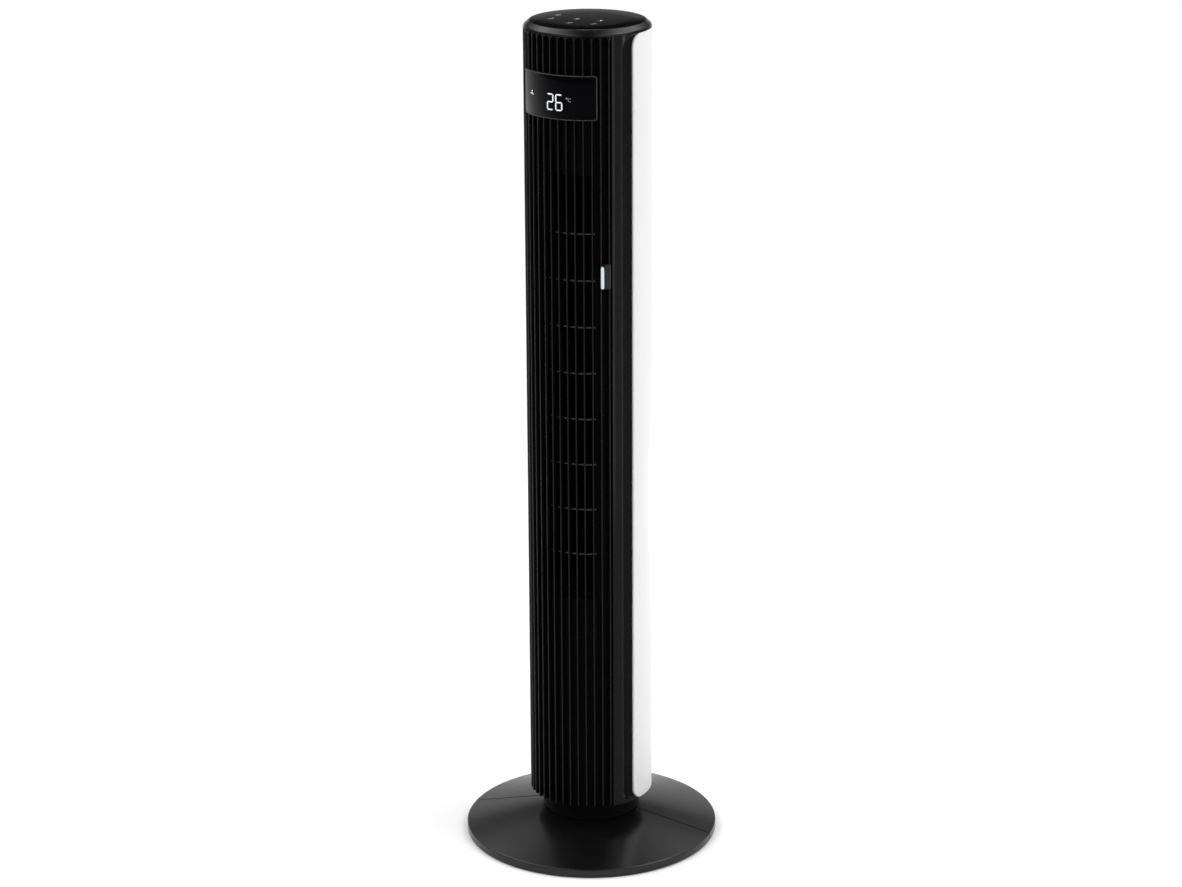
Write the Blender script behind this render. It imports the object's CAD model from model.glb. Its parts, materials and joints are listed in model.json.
"""Finished looks for a slim tower fan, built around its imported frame.

Metres, +Z up. The column's front faces -Y, and azimuths are in degrees from there towards +X.
Curved pieces are made flat first, as if the column's skin were rolled out: x runs round the column,
y goes inwards from its surface and z is up. roll_up() then bends them back round the column.
"""
import json
import math

import bmesh
import bpy
from bpy.props import FloatProperty, FloatVectorProperty, IntProperty, PointerProperty
from mathutils import Matrix, Vector


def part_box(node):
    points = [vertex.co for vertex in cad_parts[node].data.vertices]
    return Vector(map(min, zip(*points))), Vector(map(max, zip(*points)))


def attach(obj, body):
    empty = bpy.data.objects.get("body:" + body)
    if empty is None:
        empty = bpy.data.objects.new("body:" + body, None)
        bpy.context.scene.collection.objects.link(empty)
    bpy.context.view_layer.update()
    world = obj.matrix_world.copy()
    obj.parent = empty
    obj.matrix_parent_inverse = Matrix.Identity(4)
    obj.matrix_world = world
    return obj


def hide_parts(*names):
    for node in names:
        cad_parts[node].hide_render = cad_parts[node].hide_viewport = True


bl_info = {
    "name": "Tower fan",
    "version": (1, 0, 0),
    "blender": (4, 5, 0),
    "location": "View3D > Sidebar > Tower fan",
    "description": "Builds the visible pieces of a slim tower fan around its frame",
    "category": "Add Mesh",
}

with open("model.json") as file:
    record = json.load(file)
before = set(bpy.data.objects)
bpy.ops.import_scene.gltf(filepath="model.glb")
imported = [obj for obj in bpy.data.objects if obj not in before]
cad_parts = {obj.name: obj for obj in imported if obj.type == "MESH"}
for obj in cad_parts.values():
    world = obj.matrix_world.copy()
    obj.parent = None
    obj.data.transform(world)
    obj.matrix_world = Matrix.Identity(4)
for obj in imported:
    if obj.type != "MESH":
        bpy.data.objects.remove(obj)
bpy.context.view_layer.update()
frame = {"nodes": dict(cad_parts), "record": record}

MM = 0.001
TINY = 1e-7


def reach(node):
    """Largest distance of a frame node from the column's axis."""
    return max(math.hypot(v.co.x, v.co.y) for v in frame["nodes"][node].data.vertices)


def heights(node):
    """Lowest and highest z of a frame node."""
    low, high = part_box(node)
    return low.z, high.z


# ---- Sizes of the frame ----
COLUMN_R = reach("column_frame")
COLUMN_LOW, COVER_TOP = heights("front_grille")
COLUMN_TOP = heights("column_frame")[1]
SHELL_LOW = heights("rear_shell")[0]
BASE_R = reach("base_front_half")
BASE_LOW, SEAT_Z = heights("base_front_half")
NECK_R = reach("neck_collar")
NECK_TOP = heights("neck_collar")[1]
PANEL_R = reach("top_panel")
PANEL_LOW = heights("top_panel")[0]
WINDOW_R = reach("display_window")
WINDOW_LOW, WINDOW_TOP = heights("display_window")
LIGHT_R = reach("side_light_housing")
LIGHT_LOW, LIGHT_TOP = heights("side_light_housing")
IMPELLER_R = reach("impeller")
IMPELLER_LOW, IMPELLER_TOP = heights("impeller")
INTAKE_LOW, INTAKE_TOP = heights("rear_grille")
SHOULDER_Z = COVER_TOP + 0.3 * MM

# ---- Layout shared by several pieces, azimuths in degrees ----
BASE_TURN = 12.2
GRILLE_HALF = 52.3
OUTLET_HALF = 37.0
OUTLET_LOW = COLUMN_LOW + 245 * MM
OUTLET_TOP = COLUMN_TOP - 154 * MM
STRIP_START = 52.6
STRIP_EDGE = 62.5
PANEL_START = 75.5
FLANGE_END = 82.0
PANEL_CORNER = 13 * MM
WINDOW_HALF = 39.5
LIGHT_START = 42.4
LIGHT_SPLIT = 45.2
LIGHT_END = 51.4
INTAKE_HALF = 45.6
QUARTERS = (45, 135, 225, 315)


# ---- Points and outlines ----
def polar(azimuth, radius, z):
    turn = math.radians(azimuth)
    return Vector((radius * math.sin(turn), -radius * math.cos(turn), z))


def along(azimuth, radius=COLUMN_R):
    """Distance round the column from its front to an azimuth."""
    return math.radians(azimuth) * radius


def rounded(corners, steps=5):
    """Outline through corners (x, y, radius), each rounded to its radius."""
    outline = []
    count = len(corners)
    for i, (x, y, radius) in enumerate(corners):
        corner = Vector((x, y))
        before = (Vector(corners[i - 1][:2]) - corner).normalized()
        after = (Vector(corners[(i + 1) % count][:2]) - corner).normalized()
        if radius <= 0:
            outline.append((x, y))
            continue
        half = before.angle(after) / 2
        centre = corner + (before + after).normalized() * radius / math.sin(half)
        start = corner + before * radius / math.tan(half) - centre
        end = corner + after * radius / math.tan(half) - centre
        first = math.atan2(start.y, start.x)
        sweep = (math.atan2(end.y, end.x) - first + math.pi) % (2 * math.pi) - math.pi
        for k in range(steps + 1):
            angle = first + sweep * k / steps
            outline.append((centre.x + radius * math.cos(angle), centre.y + radius * math.sin(angle)))
    return outline


def rounded_box(x0, x1, z0, z1, radius, steps=6):
    """Rectangle with rounded corners. radius is one number or four, from the lower left anticlockwise."""
    radii = radius if isinstance(radius, tuple) else (radius,) * 4
    corners = ((x0, z0), (x1, z0), (x1, z1), (x0, z1))
    return rounded([(x, z, r) for (x, z), r in zip(corners, radii)], steps)


def circle(x, z, radius, steps=24):
    turns = [2 * math.pi * i / steps for i in range(steps)]
    return [(x + radius * math.cos(t), z + radius * math.sin(t)) for t in turns]


def inset(outline, distance):
    """The outline moved inwards, for an anticlockwise outline whose corners are wider than that."""
    moved = []
    count = len(outline)
    for i in range(count):
        here = Vector(outline[i])
        before = (here - Vector(outline[i - 1])).normalized()
        after = (Vector(outline[(i + 1) % count]) - here).normalized()
        inwards = Vector((-before.y, before.x)) + Vector((-after.y, after.x))
        inwards.normalize()
        lean = max(0.3, inwards.dot(Vector((-before.y, before.x))))
        moved.append(tuple(here + inwards * distance / lean))
    return moved


# ---- Solid shapes ----
def stack(bm, loops):
    """Closed skin over loops with equal counts of points, each anticlockwise seen from the last one."""
    rings = [[bm.verts.new(p) for p in loop] for loop in loops]
    count = len(rings[0])
    for lower, upper in zip(rings, rings[1:]):
        for i in range(count):
            j = (i + 1) % count
            bm.faces.new((lower[i], lower[j], upper[j], upper[i]))
    bm.faces.new(rings[0][::-1])
    bm.faces.new(rings[-1])


def slab(bm, outline, front, back, edge=0.0, steps=3):
    """Flat plate over an outline of (x, z) points, from y = back out to y = front, its front edge rounded."""
    loops = [[(x, back, z) for x, z in outline]]
    for k in range(steps + 1 if edge else 1):
        turn = math.radians(90 * k / steps)
        ring = inset(outline, edge * (1 - math.cos(turn))) if k else outline
        loops.append([(x, front + edge * (1 - math.sin(turn)), z) for x, z in ring])
    stack(bm, loops)


def upright(bm, outline, low, high, edge=0.0, steps=3):
    """Post over an outline of (x, y) points, its upper edge rounded."""
    loops = [[(x, y, low) for x, y in outline]]
    for k in range(steps + 1 if edge else 1):
        turn = math.radians(90 * k / steps)
        ring = inset(outline, edge * (1 - math.cos(turn))) if k else outline
        loops.append([(x, y, high - edge * (1 - math.sin(turn))) for x, y in ring])
    stack(bm, loops)


def lathe(bm, profile, start=0.0, end=360.0, steps=128):
    """Turns an outline of (radius, z) points about the Z axis.

    One that starts and ends on the axis stays open."""
    whole = end - start >= 360
    on_axis = profile[0][0] < TINY and profile[-1][0] < TINY
    turns = [start + (end - start) * i / steps for i in range(steps if whole else steps + 1)]
    rings = [[bm.verts.new(polar(t, r, z)) for r, z in profile] for t in turns]
    pairs = list(zip(rings, rings[1:] + rings[:1])) if whole else list(zip(rings, rings[1:]))
    count = len(profile)
    for one, other in pairs:
        for i in range(count - 1 if on_axis else count):
            j = (i + 1) % count
            bm.faces.new((one[i], other[i], other[j], one[j]))
    if not whole:
        bm.faces.new(rings[0])
        bm.faces.new(rings[-1][::-1])
    bmesh.ops.remove_doubles(bm, verts=bm.verts, dist=TINY)
    bmesh.ops.dissolve_degenerate(bm, edges=bm.edges, dist=TINY)


def combine(body, tool, operation="DIFFERENCE"):
    """The body with the tool's closed shapes cut out of it or joined to it. Both meshes are used up."""
    holders = []
    for shape in (body, tool):
        bmesh.ops.recalc_face_normals(shape, faces=shape.faces)
        mesh = bpy.data.meshes.new("shape")
        shape.to_mesh(mesh)
        shape.free()
        holder = bpy.data.objects.new("shape", mesh)
        bpy.context.scene.collection.objects.link(holder)
        holders.append(holder)
    step = holders[0].modifiers.new("combine", "BOOLEAN")
    step.operation = operation
    step.solver = "MANIFOLD"
    step.object = holders[1]
    bpy.context.view_layer.update()
    done = holders[0].evaluated_get(bpy.context.evaluated_depsgraph_get())
    result = bmesh.new()
    result.from_mesh(done.to_mesh())
    if not result.faces:
        raise RuntimeError("a cut or a join left nothing of the piece")
    for holder in holders:
        mesh = holder.data
        bpy.data.objects.remove(holder)
        bpy.data.meshes.remove(mesh)
    return result


def roll_up(bm, radius=COLUMN_R, step=2.5):
    """Bends a flat shape round the column, with a bend line for each step of azimuth."""
    width = along(step, radius)
    across = [v.co.x for v in bm.verts]
    for i in range(math.ceil(min(across) / width), math.floor(max(across) / width) + 1):
        whole = bm.verts[:] + bm.edges[:] + bm.faces[:]
        bmesh.ops.bisect_plane(bm, geom=whole, plane_co=(i * width, 0, 0), plane_no=(1, 0, 0), dist=TINY)
    for v in bm.verts:
        v.co = polar(math.degrees(v.co.x / radius), radius - v.co.y, v.co.z)
    return bm


def add_piece(name, bm, body, material, stands_for=(), crease=35.0, others=()):
    """Makes an object of a mesh, rides it on its body and says which frame nodes it stands for.

    others are pairs (finish, test): faces whose outermost corner's radius and lowest corner's height pass
    the test take this finish."""
    bmesh.ops.remove_doubles(bm, verts=bm.verts, dist=TINY)
    bmesh.ops.recalc_face_normals(bm, faces=bm.faces)
    mesh = bpy.data.meshes.new(name)
    bm.to_mesh(mesh)
    bm.free()
    mesh.polygons.foreach_set("use_smooth", [True] * len(mesh.polygons))
    mesh.set_sharp_from_angle(angle=math.radians(crease))
    mesh.materials.append(material)
    for index, (other, test) in enumerate(others, 1):
        mesh.materials.append(other)
        for face in mesh.polygons:
            corners = [mesh.vertices[v].co for v in face.vertices]
            if not face.material_index and test(max(c.xy.length for c in corners), min(c.z for c in corners)):
                face.material_index = index
    piece = bpy.data.objects.new(name, mesh)
    bpy.context.scene.collection.objects.link(piece)
    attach(piece, body)
    if stands_for:
        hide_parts(*stands_for)
    return piece


# ---- Materials ----
class Nodes:
    """The node tree of a new material, with the few node set-ups that the finishes share."""

    def __init__(self, name):
        self.material = bpy.data.materials.new(name)
        self.material.use_nodes = True
        self.tree = self.material.node_tree
        self.shader = self.tree.nodes["Principled BSDF"]
        self.place = self.add("ShaderNodeTexCoord").outputs["Object"]

    def add(self, kind, **settings):
        node = self.tree.nodes.new(kind)
        for key, value in settings.items():
            setattr(node, key, value)
        return node

    def link(self, source, target):
        self.tree.links.new(source, target)

    def stretched(self, scale):
        """Object coordinates multiplied by a scale on each axis."""
        mapping = self.add("ShaderNodeMapping")
        mapping.inputs["Scale"].default_value = scale
        self.link(self.place, mapping.inputs["Vector"])
        return mapping.outputs["Vector"]

    def noise(self, scale, detail=3.0, where=None):
        node = self.add("ShaderNodeTexNoise")
        node.inputs["Scale"].default_value = scale
        node.inputs["Detail"].default_value = detail
        self.link(where or self.place, node.inputs["Vector"])
        return node.outputs["Fac"]

    def spread(self, source, low, high, start=0.3, end=0.7):
        node = self.add("ShaderNodeMapRange")
        for name, value in (("From Min", start), ("From Max", end), ("To Min", low), ("To Max", high)):
            node.inputs[name].default_value = value
        self.link(source, node.inputs["Value"])
        return node.outputs["Result"]

    def shades(self, source, colours, stops=(0.3, 0.7)):
        ramp = self.add("ShaderNodeValToRGB")
        for element, stop, colour in zip(ramp.color_ramp.elements, stops, colours):
            element.position = stop
            element.color = (*colour, 1)
        self.link(source, ramp.inputs["Fac"])
        return ramp.outputs["Color"]

    def bump(self, source, depth, strength=1.0, under=None):
        node = self.add("ShaderNodeBump")
        node.inputs["Distance"].default_value = depth
        node.inputs["Strength"].default_value = strength
        self.link(source, node.inputs["Height"])
        if under:
            self.link(under, node.inputs["Normal"])
        return node.outputs["Normal"]

    def set(self, **values):
        for name, value in values.items():
            socket = self.shader.inputs[name.replace("_", " ")]
            socket.default_value = (*value, 1) if isinstance(value, tuple) else value


def tint(colour, factor):
    return tuple(min(1.0, c * factor) for c in colour)


def moulded(name, colour, roughness, grain=0.5, depth=0.012, shift=0.12, sheen=0.06, **values):
    """Moulded plastic: spark-eroded grain, soft unevenness in the gloss and a slight drift of shade.

    grain is the width of the grain and depth its height, both in millimetres."""
    nodes = Nodes(name)
    broad = nodes.noise(9.0, 2.0)
    fine = nodes.noise(1000 / grain, 3.0)
    shades = nodes.shades(broad, (tint(colour, 1 - shift), tint(colour, 1 + shift)))
    nodes.link(shades, nodes.shader.inputs["Base Color"])
    uneven = nodes.spread(nodes.noise(60.0, 4.0), roughness - sheen, roughness + sheen)
    nodes.link(uneven, nodes.shader.inputs["Roughness"])
    waves = nodes.bump(nodes.noise(22.0, 1.0), 0.02 * MM)
    nodes.link(nodes.bump(fine, depth * MM, under=waves), nodes.shader.inputs["Normal"])
    nodes.set(**values)
    return nodes.material


def polished(name, colour, roughness, **values):
    """Polished plastic or acrylic: faint flow waves and a little dust in the gloss."""
    nodes = Nodes(name)
    shades = nodes.shades(nodes.noise(14.0), (tint(colour, 0.8), tint(colour, 1.2)))
    nodes.link(shades, nodes.shader.inputs["Base Color"])
    dust = nodes.spread(nodes.noise(900.0, 5.0), roughness, roughness + 0.05, 0.55, 0.75)
    nodes.link(dust, nodes.shader.inputs["Roughness"])
    nodes.link(nodes.bump(nodes.noise(30.0, 1.0), 0.01 * MM), nodes.shader.inputs["Normal"])
    nodes.set(**values)
    return nodes.material


def metal(name, colour, roughness, lines=(900.0, 900.0, 30.0)):
    """Ground or plated metal, with fine marks that run along one axis."""
    nodes = Nodes(name)
    marks = nodes.noise(1.0, 4.0, nodes.stretched(lines))
    shades = nodes.shades(marks, (tint(colour, 0.85), tint(colour, 1.1)))
    nodes.link(shades, nodes.shader.inputs["Base Color"])
    nodes.link(nodes.spread(marks, roughness - 0.07, roughness + 0.1), nodes.shader.inputs["Roughness"])
    nodes.link(nodes.bump(marks, 0.01 * MM), nodes.shader.inputs["Normal"])
    nodes.set(Metallic=1.0)
    return nodes.material


def board(name):
    """Circuit board: green resist over a mesh of copper tracks."""
    nodes = Nodes(name)
    bricks = nodes.add("ShaderNodeTexBrick")
    nodes.link(nodes.stretched((1.0, 1.0, 1.0)), bricks.inputs["Vector"])
    for key, value in (("Scale", 160.0), ("Mortar Size", 0.06), ("Brick Width", 0.9), ("Row Height", 0.35)):
        bricks.inputs[key].default_value = value
    for key, colour in (("Color1", (0.008, 0.05, 0.024)), ("Color2", (0.01, 0.06, 0.03))):
        bricks.inputs[key].default_value = (*colour, 1)
    bricks.inputs["Mortar"].default_value = (0.03, 0.13, 0.06, 1)
    nodes.link(bricks.outputs["Color"], nodes.shader.inputs["Base Color"])
    nodes.link(nodes.spread(nodes.noise(300.0), 0.3, 0.5), nodes.shader.inputs["Roughness"])
    nodes.link(nodes.bump(bricks.outputs["Fac"], 0.03 * MM), nodes.shader.inputs["Normal"])
    return nodes.material


def glowing(name, colour, strength):
    """Lit mark or light guide, brighter in its middle parts than at its faint specks."""
    nodes = Nodes(name)
    specks = nodes.noise(1500.0, 2.0)
    shades = nodes.shades(specks, (tint(colour, 0.94), colour))
    nodes.link(shades, nodes.shader.inputs["Base Color"])
    nodes.link(shades, nodes.shader.inputs["Emission Color"])
    nodes.link(nodes.spread(specks, 0.3, 0.42), nodes.shader.inputs["Roughness"])
    nodes.set(Emission_Strength=strength)
    return nodes.material


# Black plastics: share of the panel's black, roughness, unevenness of it, grain height in mm, specular level.
BLACK_PLASTICS = {
    "base_black": (1.0, 0.23, 0.02, 0.003, 0.36),
    "column_black": (0.6, 0.14, 0.03, 0.001, 0.12),
    "textured_black": (0.6, 0.35, 0.06, 0.01, 0.05),
    "ring_black": (1.0, 0.22, 0.03, 0.002, 0.33),
    "grille_black": (1.0, 0.3, 0.06, 0.003, 0.15),
    "grille_gap": (1.0, 0.7, 0.06, 0.02, 0.03),
    "impeller_black": (0.3, 0.7, 0.06, 0.01, 0.0),
    "inner_black": (0.5, 0.6, 0.06, 0.02, 0.05),
}
BLACK_GRAIN = {"base_black": 0.45, "column_black": 0.4, "ring_black": 0.4, "grille_black": 0.4}

finishes = {}


def make_finish(name):
    """Makes the material of a finish, from its table row or its own recipe."""
    colours = bpy.context.scene.tower_fan_finish
    if name in BLACK_PLASTICS:
        share, roughness, sheen, depth, level = BLACK_PLASTICS[name]
        shade, grain = tint(tuple(colours.black), share), BLACK_GRAIN.get(name, 0.5)
        return moulded(
            f"{name}_plastic", shade, roughness, grain, depth, sheen=sheen, Specular_IOR_Level=level
        )
    digits = tuple(colours.digits)
    makers = {
        "cross_bar": lambda: moulded(
            "cross_bar_plastic", (0.013, 0.013, 0.0135), 0.3, 0.4, 0.003, Specular_IOR_Level=0.4
        ),
        "rim": lambda: moulded("window_rim_plastic", (0.024, 0.024, 0.025), 0.3, 0.4, 0.002),
        "white": lambda: moulded("white_plastic", tuple(colours.white), 0.42, 0.4, 0.006, shift=0.012),
        "grey": lambda: moulded(
            "grey_plastic", (0.016, 0.015, 0.016), 0.4, 0.4, 0.006, Specular_IOR_Level=0.2
        ),
        "acetal": lambda: moulded("acetal", (0.74, 0.73, 0.68), 0.35, 1.2, 0.004, shift=0.03),
        "rubber": lambda: moulded("rubber", (0.016, 0.016, 0.016), 0.8, 0.6, 0.05),
        "touch_black": lambda: polished(
            "touch_panel_black", (0.002, 0.002, 0.0023), 0.12, Specular_IOR_Level=0.01
        ),
        "window_black": lambda: polished(
            "display_window_black", (0.0015, 0.0015, 0.002), 0.08, Specular_IOR_Level=0.5,
            Specular_Tint=(0.04, 0.04, 0.045),
        ),
        "marks": lambda: glowing("touch_marks_print", (0.5, 0.5, 0.52), 0.12),
        "digits": lambda: glowing("display_digits_light", digits, 0.3),
        "faint": lambda: glowing("display_marks_light", tint(digits, 0.25), 0.3),
        "light": lambda: glowing("side_light_glow", tuple(colours.light), 0.22),
        "steel": lambda: metal("ground_steel", (0.52, 0.52, 0.54), 0.3),
        "zinc": lambda: metal("zinc_plated_steel", (0.42, 0.43, 0.45), 0.42, (400.0, 400.0, 400.0)),
        "board": lambda: board("circuit_board"),
    }
    return makers[name]()


def finish(name):
    """A finish by its name. Each one is made once, from the colours in the panel."""
    if name not in finishes:
        finishes[name] = make_finish(name)
    return finishes[name]


# ---- Settings ----
class BaseSettings(bpy.types.PropertyGroup):
    rim_round: FloatProperty(
        name="Rim rounding", description="Radius of the base's upper rim",
        default=1.6 * MM, min=0.2 * MM, max=2.5 * MM, unit="LENGTH", subtype="DISTANCE",
    )
    seam: FloatProperty(
        name="Seam", description="Width of the gap where the two halves of the base meet",
        default=1.5 * MM, min=0.3 * MM, max=2.0 * MM, unit="LENGTH", subtype="DISTANCE",
    )


class GrilleSettings(bpy.types.PropertyGroup):
    rib_count: IntProperty(
        name="Ribs", description="Ribs across the front of the column", default=14, min=6, max=20,
    )
    rib_width: FloatProperty(
        name="Rib width", description="Thickness of a rib at its root",
        default=2.1 * MM, min=1.0 * MM, max=3.5 * MM, unit="LENGTH", subtype="DISTANCE",
    )
    rib_depth: FloatProperty(
        name="Rib depth", description="How far the ribs stand out of the wall behind them",
        default=6.0 * MM, min=3.0 * MM, max=7.0 * MM, unit="LENGTH", subtype="DISTANCE",
    )
    blade_count: IntProperty(
        name="Impeller blades", description="Blades round the cross-flow impeller",
        default=34, min=12, max=48,
    )


class ShellSettings(bpy.types.PropertyGroup):
    edge_round: FloatProperty(
        name="Shell edge", description="Rounding of the white shell's outer edge",
        default=0.9 * MM, min=0.2 * MM, max=1.6 * MM, unit="LENGTH", subtype="DISTANCE",
    )
    slot_columns: IntProperty(
        name="Intake slots", description="Slots across the rear intake", default=32, min=8, max=40,
    )


class DisplaySettings(bpy.types.PropertyGroup):
    temperature: IntProperty(
        name="Temperature", description="Number that the display shows", default=26, min=0, max=99,
    )
    rim: FloatProperty(
        name="Rim", description="Width of the rim round the window",
        default=1.0 * MM, min=0.3 * MM, max=3.0 * MM, unit="LENGTH", subtype="DISTANCE",
    )
    stroke: FloatProperty(
        name="Stroke", description="Width of the bars that make up a figure",
        default=1.35 * MM, min=0.5 * MM, max=3.0 * MM, unit="LENGTH", subtype="DISTANCE",
    )


class FinishSettings(bpy.types.PropertyGroup):
    black: FloatVectorProperty(
        name="Black plastic", description="Colour of the base, the neck and the column's front",
        default=(0.003, 0.003, 0.0032), min=0.0, max=1.0, subtype="COLOR",
    )
    white: FloatVectorProperty(
        name="White plastic", description="Colour of the rear shell",
        default=(0.83, 0.835, 0.825), min=0.0, max=1.0, subtype="COLOR",
    )
    digits: FloatVectorProperty(
        name="Figures", description="Colour of the lit figures on the display",
        default=(0.9, 0.92, 0.95), min=0.0, max=1.0, subtype="COLOR",
    )
    light: FloatVectorProperty(
        name="Side light", description="Colour of the side light",
        default=(0.62, 0.76, 0.82), min=0.0, max=1.0, subtype="COLOR",
    )


class StageSettings(bpy.types.PropertyGroup):
    floor: FloatVectorProperty(
        name="Floor", description="Colour of the floor",
        default=(0.93, 0.93, 0.93), min=0.0, max=1.0, subtype="COLOR",
    )
    sky: FloatProperty(
        name="Sky", description="Brightness of the studio's ceiling", default=2.75, min=0.0, max=5.0,
    )
    key: FloatProperty(
        name="Key light", description="Brightness of the softbox high on the right",
        default=4.0, min=0.0, max=30.0,
    )
    edge: FloatProperty(
        name="Edge light", description="Brightness of the upright softboxes beside the fan",
        default=3.2, min=0.0, max=10.0,
    )
    rear: FloatProperty(
        name="Rear light", description="Brightness of the low softbox behind the base",
        default=0.62, min=0.0, max=10.0,
    )


# ---- Base and neck ----
class TOWERFAN_OT_base(bpy.types.Operator):
    """Makes the two halves of the base, which meet on a seam, and its rubber feet"""

    bl_idname = "tower_fan.base"
    bl_label = "Base"

    def execute(self, context):
        settings = context.scene.tower_fan_base
        bore = 23.5 * MM
        seat = NECK_R + 1 * MM
        rim = 10.1 * MM
        wall = 3 * MM
        for name, node, start in (
            ("base_front_cover", "base_front_half", -90),
            ("base_rear_cover", "base_rear_half", 90),
        ):
            profile = rounded([
                (bore, SEAT_Z - 13 * MM, 0.4 * MM),
                (bore + wall, SEAT_Z - 13 * MM, 0.4 * MM),
                (bore + wall, SEAT_Z - wall, 1 * MM),
                (seat, SEAT_Z - wall, 0),
                (BASE_R - wall, rim - wall, 1 * MM),
                (BASE_R - wall, BASE_LOW, 0.3 * MM),
                (BASE_R, BASE_LOW, 0.7 * MM),
                (BASE_R, rim, settings.rim_round),
                (seat, SEAT_Z, 6 * MM),
                (bore, SEAT_Z, 0.3 * MM),
            ], 6)
            half = bmesh.new()
            lathe(half, profile, start, start + 180, 96)
            half = self.underside(half, start, seat, bore)
            away = -settings.seam / 2 if start < 0 else settings.seam / 2
            bmesh.ops.translate(half, verts=half.verts, vec=(0, away, 0))
            turn = Matrix.Rotation(math.radians(BASE_TURN), 4, "Z")
            bmesh.ops.transform(half, matrix=turn, verts=half.verts)
            add_piece(name, half, "base", finish("base_black"), (node,), 30)
        for i in range(6):
            self.foot(i + 1)
        return {"FINISHED"}

    def underside(self, half, start, seat, bore):
        """Adds the ribs and foot seats under the base, and the holes for the neck's screws."""
        frames = bmesh.new()
        low = 3.3 * MM
        for azimuth in (22.5, 67.5, 112.5, 157.5):
            outline = [(-1.2 * MM, -BASE_R + 2 * MM), (1.2 * MM, -BASE_R + 2 * MM),
                       (1.2 * MM, -bore - 2 * MM), (-1.2 * MM, -bore - 2 * MM)]
            rib = bmesh.new()
            top = {0: 8.2 * MM, 1: 8.2 * MM, 2: SEAT_Z - 1 * MM, 3: SEAT_Z - 1 * MM}
            stack(rib, [
                [(x, y, low) for x, y in outline],
                [(x, y, top[i]) for i, (x, y) in enumerate(outline)],
            ])
            turn = Matrix.Rotation(math.radians(start + azimuth), 4, "Z")
            bmesh.ops.transform(rib, matrix=turn, verts=rib.verts)
            scratch = bpy.data.meshes.new("rib")
            rib.to_mesh(scratch)
            rib.free()
            frames.from_mesh(scratch)
            bpy.data.meshes.remove(scratch)
        half = combine(half, frames, "UNION")
        holes = bmesh.new()
        for azimuth in QUARTERS:
            middle = polar(azimuth, 42 * MM, 0)
            upright(holes, circle(middle.x, middle.y, 2.2 * MM, 16), -1 * MM, SEAT_Z + 1 * MM)
        return combine(half, holes)

    def foot(self, number):
        """A rubber foot with a domed edge and a shallow ring moulded in its sole."""
        low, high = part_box(f"foot_{number}")
        radius = (high.x - low.x) / 2
        pad = bmesh.new()
        lathe(pad, [
            (0, 0.5 * MM), (radius * 0.5, 0.5 * MM), (radius * 0.6, 0),
            (radius - 1.2 * MM, 0), (radius - 0.5 * MM, 0.2 * MM), (radius - 0.1 * MM, 0.7 * MM),
            (radius, 1.3 * MM), (radius, high.z), (0, high.z),
        ], steps=40)
        middle = (low + high) / 2
        bmesh.ops.translate(pad, verts=pad.verts, vec=(middle.x, middle.y, 0))
        add_piece(f"foot_pad_{number}", pad, "base", finish("rubber"), (f"foot_{number}",))


class TOWERFAN_OT_neck(bpy.types.Operator):
    """Makes the neck collar between the base and the column, with the hub that the column turns in"""

    bl_idname = "tower_fan.neck"
    bl_label = "Neck collar"

    def execute(self, context):
        floor = SEAT_Z + 0.3 * MM
        hub = 22.7 * MM
        collar = bmesh.new()
        lathe(collar, rounded([
            (hub - 3.6 * MM, SEAT_Z - 13 * MM, 0.3 * MM),
            (hub, SEAT_Z - 13 * MM, 0.3 * MM),
            (hub, floor, 0.2 * MM),
            (NECK_R, floor, 0.4 * MM),
            (NECK_R, floor + 2.2 * MM, 0.4 * MM),
            (NECK_R - 0.8 * MM, floor + 3 * MM, 0.6 * MM),
            (NECK_R - 0.8 * MM, NECK_TOP, 0.6 * MM),
            (NECK_R - 3 * MM, NECK_TOP, 0.3 * MM),
            (NECK_R - 3 * MM, floor + 3 * MM, 0.6 * MM),
            (hub, floor + 3 * MM, 0.6 * MM),
            (hub, COLUMN_LOW - 5 * MM, 0.3 * MM),
            (hub - 3.6 * MM, COLUMN_LOW - 5 * MM, 0.3 * MM),
        ], 4), steps=112)
        posts, pilots = bmesh.new(), bmesh.new()
        for azimuth in QUARTERS:
            middle = polar(azimuth + BASE_TURN, 42 * MM, 0)
            post = circle(middle.x, middle.y, 4.5 * MM, 20)
            upright(posts, post, floor + 1 * MM, floor + 8.4 * MM, 0.5 * MM)
            upright(pilots, circle(middle.x, middle.y, 2.2 * MM, 16), floor - 1 * MM, floor + 6.9 * MM)
        collar = combine(combine(collar, posts, "UNION"), pilots)
        add_piece("neck_ring", collar, "base", finish("inner_black"), ("neck_collar",), 30)
        return {"FINISHED"}


# ---- Column frame ----
STRIP_TOP_R = 18 * MM
STRIP_LOW_R = 9 * MM
STRIP_LOW_RISE = 4 * MM
BEVEL_RUN = 3.1 * MM
BEVEL_DEPTH = 1.8 * MM


def rounded_distance(x, z, left, low, high, low_radius, high_radius):
    """Signed distance inside the left end of a band whose two corners are rounded."""
    inside = min(x - left, z - low, high - z)
    if x < left + low_radius and z < low + low_radius:
        inside = low_radius - math.hypot(x - left - low_radius, z - low - low_radius)
    if x < left + high_radius and z > high - high_radius:
        inside = high_radius - math.hypot(x - left - high_radius, z - high + high_radius)
    return inside


def edge_drop(distance, radius):
    """How far a rounded edge falls away at a distance from its end."""
    if distance >= radius:
        return 0.0
    return radius - math.sqrt(max(0.0, radius**2 - (radius - distance) ** 2))


def smooth_step(t):
    t = min(1.0, max(0.0, t))
    return t * t * (3 - 2 * t)


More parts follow.
